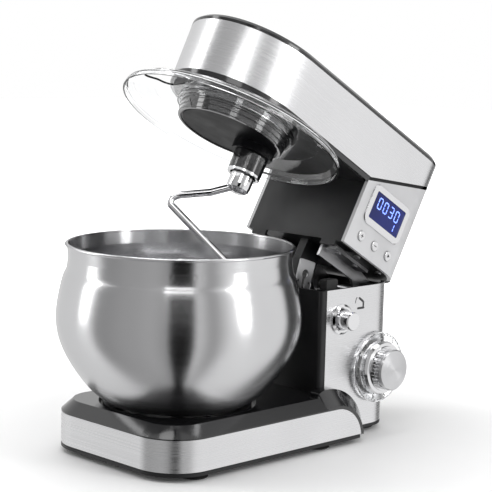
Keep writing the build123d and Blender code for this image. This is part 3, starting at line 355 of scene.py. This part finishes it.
# ---- digits ----
SEGMENTS = ["abcdef", "bc", "abged", "abgcd", "fgbc", "afgcd", "afgedc", "abc", "abcdefg"]
DISPLAY_NUMBER = (0, 0, 3, 0)
DISPLAY_SPEED = 1
DIGIT_THICK = 0.00006


def add_digit(bm, value, place, width, height, stroke, depth):
    """Seven-segment digit centred on a place."""
    w, h = width / 2, height / 4
    spots = {
        "a": (0, 2 * h, False), "g": (0, 0, False), "d": (0, -2 * h, False),
        "b": (w, h, True), "c": (w, -h, True), "e": (-w, -h, True), "f": (-w, h, True),
    }
    for key in SEGMENTS[value]:
        x, y, upright = spots[key]
        length = (2 * h if upright else width) - stroke * 0.4
        spot = place @ Matrix.Translation((x, y, 0))
        if upright:
            spot = quarter_turned(spot)
        add_prism(bm, bar_outline(length, stroke), spot, depth)


def facing_side(x, y, z, tilted):
    """Local frame on the dial side: local X runs along +X, local Y up, local Z outward along -Y."""
    place = Matrix.Translation((x, y, z)) @ Matrix.Rotation(math.pi / 2, 4, "X")
    return OPEN @ place if tilted else place


def display_digits():
    """Four large digits with a small one below, on the display's face."""
    low, high = level_box("display_glass")
    width, height = high.x - low.x, high.z - low.z
    bm = bmesh.new()
    face = low.y - PRINT_STEP
    for i, value in enumerate(DISPLAY_NUMBER):
        x = low.x + width * (0.2 + 0.2 * i)
        place = facing_side(x, face, low.z + height * 0.66, True)
        add_digit(bm, value, place, width * 0.11, height * 0.38, width * 0.022, DIGIT_THICK)
    place = facing_side(low.x + width * 0.78, face, low.z + height * 0.24, True)
    add_digit(bm, DISPLAY_SPEED, place, width * 0.09, height * 0.26, width * 0.02, DIGIT_THICK)
    piece_from(bm, "display_digits", DIGIT_LIGHT, "head")


def button_marks():
    """Plus, minus and start marks on the three preset buttons."""
    plus, minus, start = 1, 2, 3
    for i in (plus, minus, start):
        low, high = level_box(f"preset_button_{i}")
        centre = (low + high) / 2
        place = facing_side(centre.x, low.y - PRINT_STEP / 2, centre.z, True)
        size = (high.x - low.x) * 0.42
        bar = bar_outline(size, size * 0.2)
        triangle = [(-size * 0.35, -size * 0.45), (size * 0.5, 0), (-size * 0.35, size * 0.45)]
        bm = bmesh.new()
        add_prism(bm, triangle if i == start else bar, place, PRINT_THICK)
        if i == plus:
            upright = quarter_turned(place) @ Matrix.Translation((0, 0, PRINT_STEP * 1.5))
            add_prism(bm, bar, upright, PRINT_THICK)
        piece_from(bm, f"preset_mark_{i}", PRINT_DARK, f"preset_{i}")


NUMBER_THICK = 0.0003
TICK_THICK = 0.0004
TICK_DEPTH = 0.0011
MARKED_DEGREES = 300
TICKS_PER_NUMBER = 4


def dial_marks():
    """Ticks and speed numbers round the dial's clear skirt."""
    low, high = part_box("dial_skirt")
    centre = Vector(DIAL_JOINT["pos_m"])
    radius = (high.x - low.x) / 2
    numbers = len(SEGMENTS)
    ticks = numbers * TICKS_PER_NUMBER
    bm = bmesh.new()
    face = facing_side(centre.x, low.y - PRINT_STEP, centre.z, False)
    for i in range(numbers):
        turn = Matrix.Rotation(math.radians(90 - i * MARKED_DEGREES / numbers), 4, "Z")
        number = face @ turn @ Matrix.Translation((radius * 0.83, 0, -NUMBER_THICK)) @ turn.inverted()
        add_digit(bm, i, number, radius * 0.055, radius * 0.12, radius * 0.02, NUMBER_THICK)
    face = facing_side(centre.x, low.y + TICK_DEPTH, centre.z, False)
    for i in range(ticks):
        turn = Matrix.Rotation(math.radians(90 - i * MARKED_DEGREES / ticks), 4, "Z")
        tick = face @ turn @ Matrix.Translation((radius * 0.93, 0, 0))
        add_prism(bm, bar_outline(radius * 0.05, radius * 0.012), tick, TICK_THICK)
    piece_from(bm, "dial_marks", PRINT_DARK, "dial")


SYMBOL_SIZE = 0.0075
SYMBOL_GAP = 0.013
SYMBOL_DROP = 0.001


def tilt_symbol():
    """Small printed mixer with its head up and an arc beside it, next to the release button."""
    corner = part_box("release_bezel")[1]
    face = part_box("column_panel_left")[0].y - PRINT_STEP / 2
    place = facing_side(corner.x + SYMBOL_GAP, face, corner.z - SYMBOL_DROP, False)
    size = SYMBOL_SIZE
    bars = [
        (0, -size * 0.8, size * 1.5, 0.0),
        (size * 0.5, -size * 0.35, size, math.pi / 2),
        (size * 0.05, size * 0.3, size * 1.25, -0.6),
    ]
    bm = bmesh.new()
    for level, (x, y, length, angle) in enumerate(bars):
        spot = place @ Matrix.Translation((x, y, level * PRINT_STEP)) @ Matrix.Rotation(angle, 4, "Z")
        add_prism(bm, bar_outline(length, size * 0.3), spot, PRINT_THICK)
    add_arc(bm, place, size, size * 1.12, 2.4, 0.8, PRINT_THICK)
    piece_from(bm, "tilt_symbol", PRINT_DARK, "stand")


SPRING_WIRE = 0.0006
SPRING_TURNS = 8
STEPS_PER_TURN = 16


def helical_spring():
    """Coiled wire of the release spring."""
    low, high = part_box("release_spring")
    centre = (low + high) / 2
    radius = (high.x - low.x) / 2 - SPRING_WIRE
    steps = SPRING_TURNS * STEPS_PER_TURN
    points = []
    for i in range(steps + 1):
        angle = 2 * math.pi * i / STEPS_PER_TURN
        x = centre.x + radius * math.cos(angle)
        y = low.y + SPRING_WIRE + (high.y - low.y - 2 * SPRING_WIRE) * i / steps
        z = centre.z + radius * math.sin(angle)
        points.append(Vector((x, y, z)))
    bm = bmesh.new()
    tube(bm, points, SPRING_WIRE)
    spring = piece_from(bm, "release_spring_coil", MATERIALS["plated_steel"], "stand")
    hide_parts("release_spring")


# ---- floor, light and camera ----
def seen_directly(tree):
    """One for what the camera sees, also through clear plastic, and zero for reflections."""
    path = tree.nodes.new("ShaderNodeLightPath")
    direct = tree.nodes.new("ShaderNodeMath")
    direct.operation = "MAXIMUM"
    tree.links.new(path.outputs["Is Camera Ray"], direct.inputs[0])
    tree.links.new(path.outputs["Is Transmission Ray"], direct.inputs[1])
    return direct.outputs["Value"]


FADE_START = 0.2
FADE_END = 0.8
FLOOR_HALF = 6.0


def fade_to_white(material, shader):
    """Glow that grows with the distance from the object, so that the floor's edge isn't seen."""
    tree = material.node_tree
    coords = tree.nodes.new("ShaderNodeTexCoord")
    distance = tree.nodes.new("ShaderNodeVectorMath")
    distance.operation = "LENGTH"
    grow = tree.nodes.new("ShaderNodeMapRange")
    grow.interpolation_type = "SMOOTHSTEP"
    grow.inputs["From Min"].default_value = FADE_START
    grow.inputs["From Max"].default_value = FADE_END
    tree.links.new(coords.outputs["Object"], distance.inputs[0])
    tree.links.new(distance.outputs["Value"], grow.inputs["Value"])
    seen = tree.nodes.new("ShaderNodeMath")
    seen.operation = "MULTIPLY"
    tree.links.new(grow.outputs["Result"], seen.inputs[0])
    tree.links.new(seen_directly(tree), seen.inputs[1])
    tree.links.new(seen.outputs["Value"], shader.inputs["Emission Strength"])
    shader.inputs["Emission Color"].default_value = (1.0, 1.0, 1.0, 1.0)


def floor():
    """Pale floor that bright metal doesn't mirror."""
    bm = bmesh.new()
    bmesh.ops.create_grid(bm, x_segments=8, y_segments=8, size=FLOOR_HALF)
    mesh = bpy.data.meshes.new("floor")
    bm.to_mesh(mesh)
    bm.free()
    material, shader = new_material("floor_paper", (0.9, 0.9, 0.9), 0.0, 0.5)
    tinted(material, noise(material, 3.0), (0.9, 0.9, 0.9), (0.93, 0.93, 0.93), shader.inputs["Base Color"])
    fade_to_white(material, shader)
    mesh.materials.append(material)
    plane = bpy.data.objects.new("floor", mesh)
    plane.visible_glossy = False
    bpy.context.scene.collection.objects.link(plane)


# (place round the horizon from 0 to 1 starting at -X, brightness)
FLAGS = [
    (0.06, 0.5), (0.1, 0.42), (0.112, 0.0), (0.165, 0.0), (0.18, 0.8),
    (0.22, 0.45), (0.28, 1.0), (0.445, 1.0), (0.475, 0.08), (0.51, 0.1),
    (0.56, 0.7), (0.7, 0.8), (0.82, 0.9), (0.87, 1.0), (0.91, 0.35),
]
LEVEL_AT_ENDS = 0.45


def world():
    """White studio surround with soft dark flags, which show as bands in bright metal."""
    scene_world = bpy.data.worlds.new("studio")
    bpy.context.scene.world = scene_world
    scene_world.use_nodes = True
    tree = scene_world.node_tree
    background = tree.nodes["Background"]
    coords = tree.nodes.new("ShaderNodeTexCoord")
    split = tree.nodes.new("ShaderNodeSeparateXYZ")
    angle = tree.nodes.new("ShaderNodeMath")
    angle.operation = "ARCTAN2"
    scale = tree.nodes.new("ShaderNodeMapRange")
    scale.inputs["From Min"].default_value = -math.pi
    scale.inputs["From Max"].default_value = math.pi
    ramp = tree.nodes.new("ShaderNodeValToRGB")
    ramp.color_ramp.interpolation = "EASE"
    elements = ramp.color_ramp.elements
    ends = (LEVEL_AT_ENDS, LEVEL_AT_ENDS, LEVEL_AT_ENDS, 1)
    elements[0].position, elements[0].color = 0.0, ends
    elements[1].position, elements[1].color = 1.0, ends
    for position, level in FLAGS:
        stop = elements.new(position)
        stop.color = (level, level, level, 1)
    tree.links.new(coords.outputs["Generated"], split.inputs["Vector"])
    tree.links.new(split.outputs["Y"], angle.inputs[0])
    tree.links.new(split.outputs["X"], angle.inputs[1])
    tree.links.new(angle.outputs["Value"], scale.inputs["Value"])
    tree.links.new(scale.outputs["Result"], ramp.inputs["Fac"])
    mix = tree.nodes.new("ShaderNodeMix")
    mix.data_type = "RGBA"
    tree.links.new(seen_directly(tree), mix.inputs["Factor"])
    tree.links.new(ramp.outputs["Color"], mix.inputs[6])
    mix.inputs[7].default_value = (1.0, 1.0, 1.0, 1.0)
    tree.links.new(mix.outputs[2], background.inputs["Color"])
    background.inputs["Strength"].default_value = 1.0


# (name, place from the bowl's axis, width, height, power)
LIGHTS = [
    ("key_left", (-1.3, 1.5, 1.1), 0.5, 2.2, 12),
    ("fill_right", (0.75, -2.1, 1.2), 0.5, 2.2, 17),
    ("front", (-1.5, -1.6, 1.9), 1.2, 0.5, 6),
    ("top", (0.1, 0.2, 1.9), 1.6, 1.0, 16),
]


def softbox(name, place, target, width, height, power):
    """Rectangular soft light aimed at a point."""
    data = bpy.data.lights.new(name, "AREA")
    data.shape = "RECTANGLE"
    data.size = width
    data.size_y = height
    data.energy = power
    light = bpy.data.objects.new(name, data)
    light.location = place
    light.rotation_euler = (Vector(target) - Vector(place)).to_track_quat("-Z", "Y").to_euler()
    bpy.context.scene.collection.objects.link(light)


def lights():
    """Soft lights round the object, aimed at its middle."""
    centre = BOWL_AXIS + Vector((0.08, 0.0, 0.2))
    for name, offset, width, height, power in LIGHTS:
        softbox(name, BOWL_AXIS + Vector(offset), centre, width, height, power)


CAMERA_FROM_BOWL = (-0.98796, -1.08065, 0.39512)
TARGET_FROM_BOWL = (0.086, 0.0, 0.190)
CAMERA_ROLL = math.radians(1.47)
CAMERA_LENS = 115.65
SENSOR_WIDTH = 36.0


def camera():
    """Camera of the main picture, rolled slightly about its line of sight."""
    data = bpy.data.cameras.new("photo_camera")
    data.lens = CAMERA_LENS
    data.sensor_width = SENSOR_WIDTH
    eye = bpy.data.objects.new("photo_camera", data)
    place = BOWL_AXIS + Vector(CAMERA_FROM_BOWL)
    target = BOWL_AXIS + Vector(TARGET_FROM_BOWL)
    back = (place - target).normalized()
    right = Vector((0, 0, 1)).cross(back).normalized()
    up = back.cross(right)
    cos_r, sin_r = math.cos(CAMERA_ROLL), math.sin(CAMERA_ROLL)
    axis_x = right * cos_r + up * sin_r
    axis_y = up * cos_r - right * sin_r
    turn = Matrix((axis_x, axis_y, back)).transposed().to_4x4()
    eye.matrix_world = Matrix.Translation(place) @ turn
    bpy.context.scene.collection.objects.link(eye)
    bpy.context.scene.camera = eye


paint_cad_nodes()
display_digits()
button_marks()
dial_marks()
tilt_symbol()
helical_spring()
floor()
world()
lights()
camera()
bpy.context.scene.view_settings.view_transform = "Standard"
